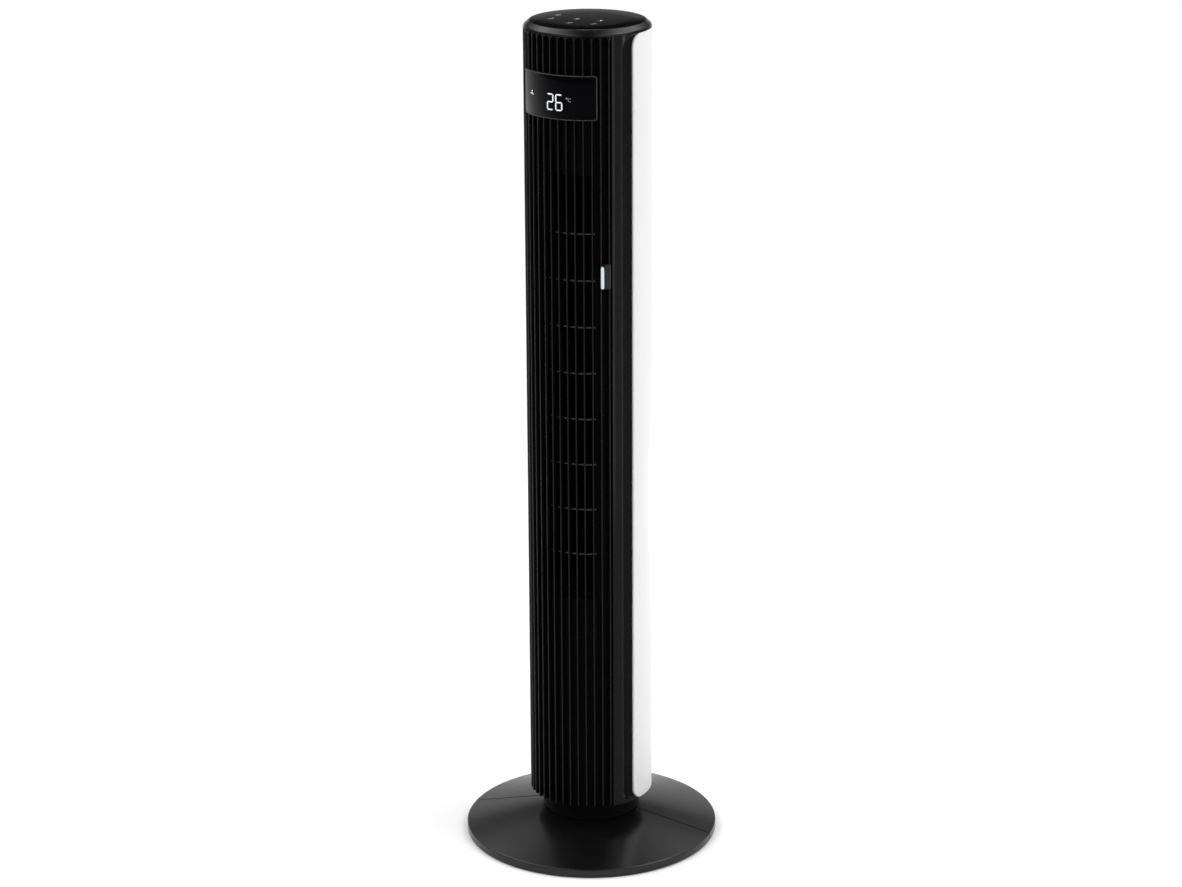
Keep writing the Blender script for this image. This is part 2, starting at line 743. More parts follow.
def strip_depth(x, z):
    """Depth of the frame's side strip under the column's surface."""
    from_edge = rounded_distance(
        x, z, along(STRIP_EDGE), COLUMN_LOW + STRIP_LOW_RISE, SHOULDER_Z, STRIP_LOW_R, STRIP_TOP_R
    )
    depth = BEVEL_DEPTH * smooth_step(from_edge / BEVEL_RUN + 0.1)
    depth = max(depth, edge_drop(x - along(STRIP_START), 0.9 * MM), edge_drop(z - COLUMN_LOW, 0.9 * MM))
    under_panel = rounded_distance(
        x, z, along(PANEL_START), SHELL_LOW, COVER_TOP, PANEL_CORNER, PANEL_CORNER
    )
    if under_panel > -0.45 * MM:
        depth = max(depth, 2.8 * MM)
    return depth


def spaced(stops):
    """Numbers from the first stop to the last, with the step that each (start, step) pair gives."""
    values = []
    for (start, step), (end, _) in zip(stops, stops[1:]):
        count = max(1, round((end - start) / step))
        values += [start + (end - start) * i / count for i in range(count)]
    return values + [stops[-1][0]]


HOOP_INNER, HOOP_OUTER, HOOP_HEIGHT = 56.7 * MM, 59.7 * MM, 11 * MM
PILLAR_PLACE, PILLAR_R = 53.1 * MM, 4.5 * MM


class TOWERFAN_OT_column_frame(bpy.types.Operator):
    """Makes the frame that carries the covers: two side strips, the bevelled top ring and the hoops"""

    bl_idname = "tower_fan.column_frame"
    bl_label = "Column frame"

    def execute(self, context):
        body = bmesh.new()
        for side in (1, -1):
            self.strip(body, side)
        ledge = PANEL_LOW - 0.3 * MM
        lathe(body, rounded([
            (HOOP_INNER, SHOULDER_Z - 18 * MM, 0.3 * MM),
            (HOOP_OUTER, SHOULDER_Z - 18 * MM, 0.3 * MM),
            (HOOP_OUTER, SHOULDER_Z, 0),
            (COLUMN_R - 0.2 * MM, SHOULDER_Z, 0),
            (COLUMN_R - 1.1 * MM, SHOULDER_Z + 2.4 * MM, 2.3 * MM),
            (PANEL_R + 1.7 * MM, COLUMN_TOP - 0.3 * MM, 1.7 * MM),
            (PANEL_R + 0.35 * MM, COLUMN_TOP, 0.3 * MM),
            (PANEL_R + 0.35 * MM, ledge, 0),
            (HOOP_INNER, ledge, 0.3 * MM),
        ], 6), steps=180)
        low = COLUMN_LOW + 4.3 * MM
        lathe(body, rounded([
            (HOOP_INNER, low, 0.3 * MM), (HOOP_OUTER, low, 0.3 * MM),
            (HOOP_OUTER, low + HOOP_HEIGHT, 0.3 * MM), (HOOP_INNER, low + HOOP_HEIGHT, 0.3 * MM),
        ], 3), steps=96)
        for azimuth in QUARTERS:
            middle = polar(azimuth, PILLAR_PLACE, 0)
            upright(body, circle(middle.x, middle.y, PILLAR_R, 20), low, low + HOOP_HEIGHT, 0.5 * MM)
        add_piece("frame_and_strips", body, "column", finish("column_black"),
                  ("column_frame",), 28, (
                      (finish("ring_black"), lambda r, z: z > SHOULDER_Z - 0.01 * MM),
                      (finish("textured_black"), lambda r, z: r < COLUMN_R - 1.5 * MM),
                  ))
        return {"FINISHED"}

    def strip(self, body, side):
        """A side strip as a closed skin: its outer face by strip_depth(), its inner face plain."""
        start, edge, end = along(STRIP_START), along(STRIP_EDGE), along(FLANGE_END)
        columns = spaced([
            (start, 0.15 * MM), (start + 1 * MM, 1 * MM), (start + 2.6 * MM, 0.1 * MM),
            (start + 2.7 * MM, 1.2 * MM), (edge - 1 * MM, 0.4 * MM), (end, 1),
        ])
        rows = spaced([
            (COLUMN_LOW, 0.15 * MM), (COLUMN_LOW + 1 * MM, 0.45 * MM), (COLUMN_LOW + 22 * MM, 45 * MM),
            (SHOULDER_Z - 24 * MM, 0.45 * MM), (SHOULDER_Z + 0.05 * MM, 1),
        ])
        wall_end = start + 2.65 * MM

        def point(x, depth, z):
            return polar(side * math.degrees(x / COLUMN_R), COLUMN_R - depth, z)

        outer = [[body.verts.new(point(x, strip_depth(x, z), z)) for x in columns] for z in rows]
        inner = [
            [body.verts.new(point(x, 10 * MM if x < wall_end else 5.3 * MM, z)) for x in columns]
            for z in rows
        ]
        for i in range(len(rows) - 1):
            for j in range(len(columns) - 1):
                for grid in (outer, inner):
                    body.faces.new((grid[i][j], grid[i][j + 1], grid[i + 1][j + 1], grid[i + 1][j]))
            for j in (0, -1):
                body.faces.new((outer[i][j], inner[i][j], inner[i + 1][j], outer[i + 1][j]))
        for j in range(len(columns) - 1):
            for i in (0, -1):
                body.faces.new((outer[i][j], outer[i][j + 1], inner[i][j + 1], inner[i][j]))


# ---- Front grille ----
BAR_COUNT, BAR_RISE, BAR_PITCH = 8, 51.7 * MM, 50.9 * MM
BAR_HALF = 1 * MM


class TOWERFAN_OT_grille(bpy.types.Operator):
    """Makes the ribbed front grille, open at the air outlet, with cross bars behind the ribs"""

    bl_idname = "tower_fan.grille"
    bl_label = "Front grille"

    def execute(self, context):
        settings = context.scene.tower_fan_grille
        floor = settings.rib_depth
        wall = bmesh.new()
        top = COVER_TOP - COLUMN_LOW
        rises = [rise * MM for rise in (0, 0.3, 0.9, 1.8, 2.8)]
        rises += [top - drop * MM for drop in (9, *(7.4 - 0.4 * k for k in range(15)), 0.9, 0.4, 0.1, 0)]
        stack(wall, [
            [(x, y, COLUMN_LOW + rise) for x, y in self.section(settings, COLUMN_LOW + rise)]
            for rise in rises
        ])
        half = along(OUTLET_HALF)
        outlet = bmesh.new()
        opening = rounded_box(-half, half, OUTLET_LOW, OUTLET_TOP, 2 * MM)
        slab(outlet, opening, floor - 0.2 * MM, floor + 4 * MM)
        wall = combine(wall, outlet)
        wall = combine(wall, self.seats(floor))
        self.bars(wall, floor)
        roll_up(wall)
        add_piece("ribbed_grille", wall, "column", finish("grille_black"),
                  ("front_grille",), 32, (
                      (finish("cross_bar"), lambda r, z: False),  # bars() has marked its own faces
                      (finish("grille_gap"), lambda r, z: r < COLUMN_R - floor + 0.4 * MM),
                  ))
        return {"FINISHED"}

    def section(self, settings, z):
        """The grille cut across at a height, flat. The ribs' ends are rounded, and the gaps end in arches."""
        end = along(GRILLE_HALF)
        count = settings.rib_count
        pitch = along(108.08) / count
        half = settings.rib_width / 2
        crown = 0.62 * MM
        tip = half * 0.82
        drop = max(edge_drop(z - COLUMN_LOW, 1.6 * MM), edge_drop(COVER_TOP - z, 1.5 * MM))
        floor = settings.rib_depth
        back = floor + 2 * MM
        gap = pitch / 2 - half
        arch = COVER_TOP - 0.3 * MM

        def depth(x):
            """Depth of the wall at a distance from the middle of a gap."""
            crest = arch - gap + math.sqrt(max(0.0, (gap + 0.1 * MM) ** 2 - x**2))
            return max(drop + 0.15 * MM, floor * (1 - smooth_step((z - crest + 1.4 * MM) / (1.4 * MM))))

        outline = [(-end, depth(gap)), (-end, back)]
        outline += [(end * (i / 12 - 1), back) for i in range(1, 24)]
        outline += [(end, back), (end, depth(gap))]
        for i in reversed(range(count)):
            middle = (i - (count - 1) / 2) * pitch
            side = ((half, depth(gap)), (tip, drop + crown), (tip - crown * 0.3, drop + crown * 0.3),
                    (tip - crown, drop))
            outline += [(middle + x, min(y, depth(gap))) for x, y in side]
            outline += [(middle - x, min(y, depth(gap))) for x, y in reversed(side)]
            if i:
                across = [gap * (1 - k / 4) for k in range(9)]
                outline += [(middle - pitch / 2 + x * 0.97, depth(x)) for x in across]
        return outline

    def seats(self, floor):
        """Room for the display window, the module behind it and the side light."""
        tool = bmesh.new()
        half = along(WINDOW_HALF + 0.4)
        gap = 0.3 * MM
        low, high = WINDOW_LOW - gap, WINDOW_TOP + gap
        slab(tool, rounded_box(-half, half, low, high, 3.2 * MM), -3 * MM, 2.1 * MM)
        left, right = along(LIGHT_START - 0.4), along(GRILLE_HALF + 1)
        slab(tool, rounded_box(left, right, LIGHT_LOW - gap, LIGHT_TOP + gap, 0.8 * MM), -3 * MM, floor)
        middle = (WINDOW_LOW + WINDOW_TOP) / 2
        wide = along(19)
        module = rounded_box(-wide, wide, middle - 16.5 * MM, middle + 16.5 * MM, 2 * MM)
        slab(tool, module, 2 * MM, floor + 4 * MM)
        return tool

    def bars(self, wall, floor):
        """Cross bars of the outlet, rounded in front, which hold the ribs behind the opening."""
        half = along(OUTLET_HALF + 0.7)
        ribs = set(wall.faces)
        for i in range(BAR_COUNT):
            z = OUTLET_LOW + BAR_RISE + BAR_PITCH * i
            outline = rounded([
                (floor - 0.1 * MM, z - BAR_HALF, 0.5 * MM), (floor + 1.8 * MM, z - BAR_HALF, 0.2 * MM),
                (floor + 1.8 * MM, z + BAR_HALF, 0.2 * MM), (floor - 0.1 * MM, z + BAR_HALF, 0.5 * MM),
            ], 3)
            stack(wall, [[(x, y, z) for y, z in outline] for x in (-half, half)])
        for face in set(wall.faces) - ribs:
            face.material_index = 1


# ---- Rear shell and intake ----
REAR_SCREWS = tuple(sorted(name for name in frame["nodes"] if name.startswith("rear_screw_")))


def rolled_place(node):
    """Where a frame node's middle is on the rolled-out column: x round it, and z."""
    low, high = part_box(node)
    middle = (low + high) / 2
    azimuth = math.degrees(math.atan2(middle.x, -middle.y)) % 360
    return along(azimuth), middle.z


class TOWERFAN_OT_rear_shell(bpy.types.Operator):
    """Makes the white rear shell, with its intake opening, screw recesses and socket opening"""

    bl_idname = "tower_fan.rear_shell"
    bl_label = "Rear shell"

    def execute(self, context):
        settings = context.scene.tower_fan_shell
        shell = bmesh.new()
        left, right = along(PANEL_START), along(360 - PANEL_START)
        outline = rounded_box(left, right, SHELL_LOW, COVER_TOP, PANEL_CORNER, 12)
        slab(shell, outline, 0, 2.5 * MM, settings.edge_round, 4)
        posts = bmesh.new()
        for node in REAR_SCREWS:
            x, z = rolled_place(node)
            slab(posts, circle(x, z, 5.2 * MM), 2.2 * MM, 8 * MM)
        shell = combine(shell, posts, "UNION")
        holes = bmesh.new()
        middle, half = along(180), along(INTAKE_HALF + 0.4)
        gap = 0.3 * MM
        opening = rounded_box(middle - half, middle + half, INTAKE_LOW - gap, INTAKE_TOP + gap, 8 * MM)
        stack(holes, [
            [(x, 4 * MM, z) for x, z in opening],
            [(x, 0.7 * MM, z) for x, z in opening],
            [(x, -1 * MM, z) for x, z in inset(opening, -1.7 * MM)],
        ])
        for node in REAR_SCREWS:
            x, z = rolled_place(node)
            stack(holes, [
                [(a, 5.3 * MM, b) for a, b in circle(x, z, 4.2 * MM)],
                [(a, 0.5 * MM, b) for a, b in circle(x, z, 4.2 * MM)],
                [(a, -1 * MM, b) for a, b in circle(x, z, 5.7 * MM)],
            ])
        for node in REAR_SCREWS:
            x, z = rolled_place(node)
            slab(holes, circle(x, z, 2.2 * MM, 16), 5.2 * MM, 10 * MM)
        x, z = rolled_place("power_socket")
        socket = rounded_box(x - 8.3 * MM, x + 8.3 * MM, z - 6.3 * MM, z + 6.3 * MM, 1.2 * MM)
        slab(holes, socket, -1 * MM, 4 * MM)
        shell = combine(shell, holes)
        roll_up(shell)
        add_piece("white_rear_shell", shell, "column", finish("white"), ("rear_shell",), 32)
        return {"FINISHED"}


class TOWERFAN_OT_rear_grille(bpy.types.Operator):
    """Makes the intake grille in the rear shell, four rows of fine upright slots"""

    bl_idname = "tower_fan.rear_grille"
    bl_label = "Intake grille"

    def execute(self, context):
        columns = context.scene.tower_fan_shell.slot_columns
        rows = 4
        bridge = 9 * MM
        margin = 3 * MM
        plate = bmesh.new()
        middle, half = along(180), along(INTAKE_HALF)
        slab(plate, rounded_box(middle - half, middle + half, INTAKE_LOW, INTAKE_TOP, 7.7 * MM),
             0.4 * MM, 2.3 * MM, 0.3 * MM)
        slots = bmesh.new()
        pitch = (2 * half - 2 * margin) / columns
        rise = (INTAKE_TOP - INTAKE_LOW - bridge) / rows
        slot = pitch * 0.3
        for i in range(columns):
            x = middle - half + margin + pitch * (i + 0.5)
            for j in range(rows):
                low = INTAKE_LOW + bridge + rise * j
                outline = rounded_box(x - slot, x + slot, low, low + rise - bridge, slot * 0.999, 4)
                stack(slots, [
                    [(a, 3 * MM, b) for a, b in inset(outline, 0.1 * MM)],
                    [(a, 1.0 * MM, b) for a, b in outline],
                    [(a, 0, b) for a, b in inset(outline, -0.35 * MM)],
                ])
        plate = combine(plate, slots)
        roll_up(plate)
        add_piece("intake_grille", plate, "column", finish("white"), ("rear_grille",), 32)
        return {"FINISHED"}


class TOWERFAN_OT_fasteners(bpy.types.Operator):
    """Makes the rear screws, with domed heads and cross recesses, and the low-voltage socket"""

    bl_idname = "tower_fan.fasteners"
    bl_label = "Rear screws and socket"

    def execute(self, context):
        for number, node in enumerate(REAR_SCREWS, 1):
            x, z = rolled_place(node)
            self.screw(number, node, math.degrees(x / COLUMN_R), z)
        self.socket()
        return {"FINISHED"}

    def screw(self, number, node, azimuth, z):
        seat = 62.7 * MM
        body = bmesh.new()
        lathe(body, [
            (0, -7 * MM), (1.2 * MM, -7 * MM), (1.9 * MM, -5.6 * MM), (1.9 * MM, 0), (3.8 * MM, 0),
            (3.8 * MM, 0.7 * MM), (3.4 * MM, 1.3 * MM), (2.3 * MM, 1.7 * MM), (0, 1.85 * MM),
        ], steps=36)
        cross = bmesh.new()
        arm, half, floor = 2.0 * MM, 0.42 * MM, 0.5 * MM
        plus = [(half, half), (half, arm), (-half, arm), (-half, half), (-arm, half), (-arm, -half),
                (-half, -half), (-half, -arm), (half, -arm), (half, -half), (arm, -half), (arm, half)]
        stack(cross, [
            [(x * 0.5, y * 0.5, floor) for x, y in plus],
            [(x, y, 2.2 * MM) for x, y in plus],
        ])
        body = combine(body, cross)
        lay = Matrix.Rotation(math.radians(azimuth), 4, "Z") @ Matrix.Translation((0, -seat, z))
        tip, twist = math.radians(90), math.radians(20 * number)
        turned = lay @ Matrix.Rotation(tip, 4, "X") @ Matrix.Rotation(twist, 4, "Z")
        bmesh.ops.transform(body, matrix=turned, verts=body.verts)
        add_piece(f"cross_screw_{number}", body, "column", finish("zinc"), (node,))

    def socket(self):
        low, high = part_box("power_socket")
        middle = (low + high) / 2
        body = bmesh.new()
        outline = rounded_box(low.x, high.x, low.z, high.z, 1 * MM)
        stack(body, [
            [(x, low.y, z) for x, z in outline][::-1],
            [(x, high.y - 0.5 * MM, z) for x, z in outline][::-1],
            [(x, high.y, z) for x, z in inset(outline, 0.5 * MM)][::-1],
        ])
        bore = bmesh.new()
        stack(bore, [
            [(x, high.y - 9 * MM, z) for x, z in circle(middle.x, middle.z, 3.2 * MM)][::-1],
            [(x, high.y - 0.6 * MM, z) for x, z in circle(middle.x, middle.z, 3.2 * MM)][::-1],
            [(x, high.y + 1 * MM, z) for x, z in circle(middle.x, middle.z, 4.6 * MM)][::-1],
        ])
        body = combine(body, bore)
        pin = bmesh.new()
        stack(pin, [
            [(x, high.y - 9.5 * MM, z) for x, z in circle(middle.x, middle.z, 1 * MM, 16)][::-1],
            [(x, high.y - 1.6 * MM, z) for x, z in circle(middle.x, middle.z, 1 * MM, 16)][::-1],
            [(x, high.y - 1.1 * MM, z) for x, z in circle(middle.x, middle.z, 0.6 * MM, 16)][::-1],
        ])
        add_piece("low_voltage_socket", body, "column", finish("inner_black"),
                  ("power_socket",))
        add_piece("socket_pin", pin, "column", finish("steel"))


# ---- Top panel ----
TOUCH_MARKS = (
    ("fan", -33.9, -15.3), ("power", -4.7, -26.9), ("swing", 20.9, -20.1),
    ("timer", -38.3, 5.0), ("mode", -9.3, -4.5), ("night", 17.9, -0.2),
)


def ring_outline(x, y, outer, inner, start=0.0, sweep=360.0, steps=28):
    """Outline of a ring or of a piece of one, in a plane."""
    turns = [math.radians(start + sweep * i / steps) for i in range(steps + 1)]
    outside = [(x + outer * math.cos(t), y + outer * math.sin(t)) for t in turns]
    inside = [(x + inner * math.cos(t), y + inner * math.sin(t)) for t in reversed(turns)]
    return outside + inside


def bar_outline(x0, y0, x1, y1, width):
    """Outline of a straight bar with rounded ends, in a plane."""
    start, end = Vector((x0, y0)), Vector((x1, y1))
    way = (end - start).normalized()
    side = Vector((-way.y, way.x)) * width / 2
    outline = []
    for centre, first in ((start, math.atan2(side.y, side.x)), (end, math.atan2(-side.y, -side.x))):
        for k in range(5):
            turn = first + math.pi * k / 4
            outline.append((centre.x + width / 2 * math.cos(turn), centre.y + width / 2 * math.sin(turn)))
    return outline


def icon(kind):
    """Outlines of a small mark about 5 mm across, in millimetres round its middle."""
    if kind == "fan":
        return fan_icon(2.5)
    if kind == "power":
        return [ring_outline(0, 0, 2.3, 1.85, 122, 296), bar_outline(0, 0.6, 0, 2.6, 0.5)]
    if kind == "swing":
        arms = [bar_outline(x, 0.6, x * 0.55, y, 0.45) for x in (-2.3, 2.3) for y in (1.7, -0.4)]
        return [ring_outline(0, -2.6, 3.9, 3.45, 48, 84)] + arms
    if kind == "timer":
        hands = [bar_outline(0, 0, 0, 1.3, 0.4), bar_outline(0, 0, 1, -0.5, 0.4)]
        return [ring_outline(0, 0, 2.4, 1.95), *hands]
    if kind == "mode":
        return [bar_outline(-2.2, y, 2.2, y, 0.45) for y in (-1.6, 0, 1.6)]
    moon = ring_outline(0, 0, 2.4, 2.4, 40, 280)[:29]
    bite = [(1.1 + 1.9 * math.cos(t), 0.5 + 1.9 * math.sin(t)) for t in
            (math.radians(-72 - 241 * i / 20) for i in range(21))]
    return [moon + bite]


def fan_icon(size):
    """Three curved blades round a hub."""
    shapes = [circle(0, 0, size * 0.17, 12)]
    for k in range(3):
        turn = math.radians(90 + 120 * k)
        blade = []
        for along_blade, side in (
            (0.3, -0.12), (0.6, -0.3), (0.9, -0.3), (1.0, 0.0), (0.85, 0.28), (0.55, 0.2), (0.3, 0.08)
        ):
            x, y = along_blade * size, side * size
            blade.append((x * math.cos(turn) - y * math.sin(turn), x * math.sin(turn) + y * math.cos(turn)))
        shapes.append(blade)
    return shapes


class TOWERFAN_OT_top_panel(bpy.types.Operator):
    """Makes the glossy touch panel on top of the column and the marks printed on it"""

    bl_idname = "tower_fan.top_panel"
    bl_label = "Top panel"

    def execute(self, context):
        panel = bmesh.new()
        edge = 0.5 * MM
        arc = [(PANEL_R - edge * (1 - math.cos(t)), COLUMN_TOP - edge * (1 - math.sin(t)))
               for t in (math.radians(15 * k) for k in range(7))]
        lathe(panel, [(0, PANEL_LOW), (PANEL_R - 0.3 * MM, PANEL_LOW), (PANEL_R, PANEL_LOW + 0.3 * MM)]
              + arc + [(PANEL_R * share, COLUMN_TOP) for share in (0.66, 0.33, 0)], steps=160)
        add_piece("touch_panel", panel, "column", finish("touch_black"), ("top_panel",), 28)
        marks = bmesh.new()
        turn = Matrix.Rotation(math.radians(-9.9), 2)
        for kind, x, y in TOUCH_MARKS:
            shapes = icon(kind) + [bar_outline(-2.6, -4.2, 2.6, -4.2, 0.5)]
            for shape in shapes:
                placed = [Vector((x, y)) + turn @ Vector(p) for p in shape]
                upright(marks, [(p.x * MM, p.y * MM) for p in placed],
                        COLUMN_TOP - 0.1 * MM, COLUMN_TOP + 0.05 * MM)
        add_piece("touch_marks", marks, "column", finish("marks"))
        return {"FINISHED"}


# ---- Display and side light ----
SEGMENTS = {
    0: "abcdef", 1: "bc", 2: "abged", 3: "abgcd", 4: "fgbc", 5: "afgcd",
    6: "afgedc", 7: "abc", 8: "abcdefg", 9: "abcdfg",
}


class TOWERFAN_OT_display(bpy.types.Operator):
    """Makes the curved display window, with lit figures, a degree mark and a small fan mark"""

    bl_idname = "tower_fan.display"
    bl_label = "Display"

    def execute(self, context):
        settings = context.scene.tower_fan_display
        window = bmesh.new()
        half = along(WINDOW_HALF)
        proud = COLUMN_R - WINDOW_R
        outline = rounded_box(-half, half, WINDOW_LOW, WINDOW_TOP, 3 * MM)
        rim = settings.rim
        slab(window, inset(outline, rim + 0.1 * MM), proud + 0.15 * MM, proud + 2.8 * MM, 0.2 * MM, 3)
        roll_up(window, step=1.5)
        add_piece("curved_window", window, "column", finish("window_black"),
                  ("display_window",), 30)
        self.bezel(outline, rim, proud)
        lit = bmesh.new()
        for digit, x in ((settings.temperature // 10, -3.85), (settings.temperature % 10, 6.4)):
            self.figure(lit, digit, x * MM, WINDOW_LOW + 9.3 * MM, settings.stroke)
        for shape in fan_icon(2.9):
            self.plot(lit, [(x - 30.8, z + 23.9) for x, z in shape])
        roll_up(lit, step=1.5)
        add_piece("display_figures", lit, "column", finish("digits"))
        faint = bmesh.new()
        self.plot(faint, ring_outline(15.2, 23.0, 1.0, 0.62, steps=20))
        self.plot(faint, ring_outline(18.4, 21.3, 1.95, 1.45, 45, 270, 20))
        roll_up(faint, step=1.5)
        add_piece("display_marks", faint, "column", finish("faint"))
        return {"FINISHED"}

    def bezel(self, outline, width, proud):
        """Satin rim round the window, rounded on its face."""
        rim = bmesh.new()
        rings = []
        for across, down in (
            (0, 2.8), (0, 0.35), (0.1, 0.12), (0.3, 0), (0.7, 0), (0.9, 0.12), (1, 0.35), (1, 2.8)
        ):
            ring = inset(outline, width * across) if across else outline
            rings.append([rim.verts.new((x, proud + down * MM, z)) for x, z in ring])
        for near, far in zip(rings, rings[1:] + rings[:1]):
            for i in range(len(near)):
                j = (i + 1) % len(near)
                rim.faces.new((near[i], near[j], far[j], far[i]))
        roll_up(rim, step=1.5)
        add_piece("window_rim", rim, "column", finish("rim"))

    def plot(self, lit, outline):
        """A thin lit shape on the window, from millimetres right of its middle and above its lower edge."""
        proud = COLUMN_R - WINDOW_R
        points = [(x * MM, WINDOW_LOW + z * MM) for x, z in outline]
        slab(lit, points, proud + 0.1 * MM, proud + 0.25 * MM)

    def figure(self, lit, digit, x, z, stroke):
        """A seven-bar figure, its bars mitred where they meet."""
        wide, tall = 8.2 * MM, 17.6 * MM
        half, gap = stroke / 2, 0.18 * MM
        left, right = x - wide / 2 + half, x + wide / 2 - half
        low, mid, high = z + half, z + tall / 2, z + tall - half
        bars = {
            "a": (left, high, right, high), "b": (right, mid, right, high), "c": (right, low, right, mid),
            "d": (left, low, right, low), "e": (left, low, left, mid), "f": (left, mid, left, high),
            "g": (left, mid, right, mid),
        }
        proud = COLUMN_R - WINDOW_R
        for name in SEGMENTS[digit]:
            x0, z0, x1, z1 = bars[name]
            way = Vector((x1 - x0, z1 - z0)).normalized()
            side = Vector((-way.y, way.x)) * half
            start, end = Vector((x0, z0)) + way * gap, Vector((x1, z1)) - way * gap
            outline = [start, start + way * half - side, end - way * half - side,
                       end, end - way * half + side, start + way * half + side]
            slab(lit, [tuple(p) for p in outline], proud + 0.1 * MM, proud + 0.25 * MM)


class TOWERFAN_OT_side_light(bpy.types.Operator):
    """Makes the small side light, a light guide in its dark housing"""

    bl_idname = "tower_fan.side_light"
    bl_label = "Side light"

    def execute(self, context):
        proud = COLUMN_R - LIGHT_R
        left, split, right = along(LIGHT_START), along(LIGHT_SPLIT), along(LIGHT_END)
        housing = bmesh.new()
        block = rounded_box(split + 0.35 * MM, right, LIGHT_LOW, LIGHT_TOP, 1.1 * MM)
        slab(housing, block, proud, 5.6 * MM, 0.6 * MM)
        shelf = bmesh.new()
        slab(shelf, rounded_box(left, right - 0.6 * MM, LIGHT_LOW, LIGHT_TOP - 1 * MM, 0.8 * MM),
             3.1 * MM, 5.7 * MM)
        housing = combine(housing, shelf, "UNION")
        roll_up(housing, step=1.5)
        add_piece("light_housing", housing, "column", finish("grey"),
                  ("side_light_housing",), 30)
        guide = bmesh.new()
        outline = rounded_box(left, split, LIGHT_LOW + 0.3 * MM, LIGHT_TOP - 2.5 * MM, 1.6 * MM)
        slab(guide, outline, proud, proud + 3.9 * MM, 0.9 * MM, 4)
        roll_up(guide, step=1.5)
        add_piece("light_guide", guide, "column", finish("light"),
                  ("side_light_guide",), 40)
        return {"FINISHED"}


# ---- Impeller ----
class TOWERFAN_OT_impeller(bpy.types.Operator):
    """Makes the cross-flow impeller: thin curved blades held by discs along its length"""

    bl_idname = "tower_fan.impeller"
    bl_label = "Impeller"

    def execute(self, context):
        blades = context.scene.tower_fan_grille.blade_count
        depth = 9.5 * MM
        wheel = bmesh.new()
        for i in range(blades):
            azimuth = 360 * i / blades
            middle = []
            for k in range(6):
                t = k / 5
                lean = 14 * t + 5 * math.sin(math.pi * t)
                middle.append(polar(azimuth + lean, IMPELLER_R - depth * (1 - t) - 0.4 * MM, 0).xy)
            sides = ([], [])
            for k, point in enumerate(middle):
                way = (middle[min(k + 1, 5)] - middle[max(k - 1, 0)]).normalized()
                across = Vector((-way.y, way.x)) * (0.55 * MM if 0 < k < 5 else 0.3 * MM)
                sides[0].append(point + across)
                sides[1].append(point - across)
            outline = [tuple(p) for p in sides[1] + sides[0][::-1]]
            stack(wheel, [[(x, y, z) for x, y in outline] for z in (IMPELLER_LOW + MM, IMPELLER_TOP - MM)])
        count = 9
        step = (IMPELLER_TOP - IMPELLER_LOW - 3 * MM) / (count - 1)
        for i in range(count):
            low = IMPELLER_LOW + step * i
            if i in (0, count - 1):
                lathe(wheel, [(0, low), (IMPELLER_R - 0.4 * MM, low), (IMPELLER_R, low + 0.4 * MM),
                              (IMPELLER_R, low + 2.6 * MM), (IMPELLER_R - 0.4 * MM, low + 3 * MM),
                              (0, low + 3 * MM)], steps=72)
            else:
                lathe(wheel, rounded([
                    (IMPELLER_R - depth - 3 * MM, low + 0.6 * MM, 0.3 * MM),
                    (IMPELLER_R, low + 0.6 * MM, 0.5 * MM),
                    (IMPELLER_R, low + 2.4 * MM, 0.5 * MM),
                    (IMPELLER_R - depth - 3 * MM, low + 2.4 * MM, 0.3 * MM),
                ], 2), steps=72)
        add_piece("cross_flow_wheel", wheel, "impeller", finish("impeller_black"),
                  ("impeller",), 40)
        return {"FINISHED"}


class TOWERFAN_OT_inner_parts(bpy.types.Operator):
    """Gives the frame nodes that stay as they are their finishes"""

    bl_idname = "tower_fan.inner_parts"
    bl_label = "Inner parts"

    def execute(self, context):
        by_slot = {
            "black_plastic": "column_black", "black_grille_plastic": "inner_black", "white_plastic": "white",
            "gloss_black": "window_black", "grey_plastic": "grey", "pale_blue_light": "light",
            "acetal": "acetal", "rubber": "rubber", "steel": "steel", "zinc_steel": "zinc",
            "circuit_board": "board",
        }
        for part in frame["record"]["subparts"]:
            node = frame["nodes"][part["node"]]
            if node.hide_render:
                continue
            node.data.materials.clear()
            node.data.materials.append(finish(by_slot[part["material_slot"]]))
        return {"FINISHED"}


# ---- Stage ----
CAMERA_AZIMUTH, CAMERA_ELEVATION, CAMERA_DISTANCE = 31.4, 17.86, 3.512
BEHIND = 211  # azimuth across the fan from the camera


